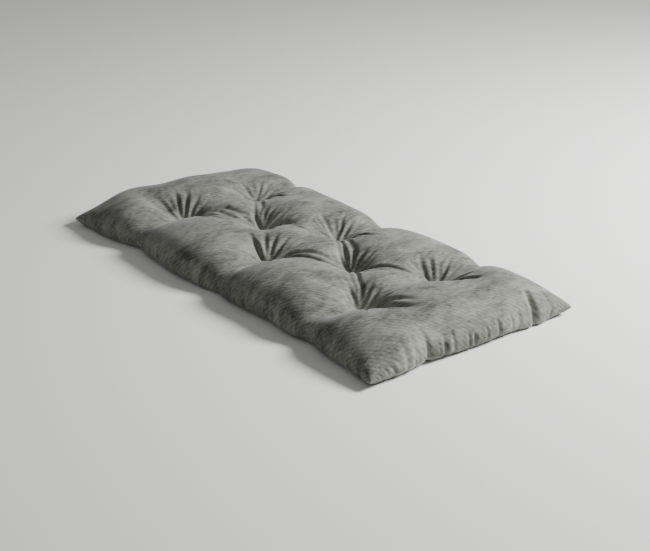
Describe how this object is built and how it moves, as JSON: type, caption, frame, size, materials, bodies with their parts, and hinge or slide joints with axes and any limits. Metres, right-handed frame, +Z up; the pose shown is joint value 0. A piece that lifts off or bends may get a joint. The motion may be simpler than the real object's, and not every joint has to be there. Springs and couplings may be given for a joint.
{
  "type": "floor mattress",
  "caption": "Filled cloth floor mattress with a knife-edge seam, pointed corners and deep tufts, lying flat on the floor.",
  "frame": {"origin": "on the floor, under the middle of the mattress", "axes": "+X along the length, +Y across the width away from the near long side, +Z up"},
  "size_m": [1.2002, 0.6, 0.0906],
  "materials": {
    "cloth": "brushed grey-green chenille, matt with a slight sheen"
  },
  "bodies": {
    "root": {"mattress": "cloth"}
  },
  "joints": []
}
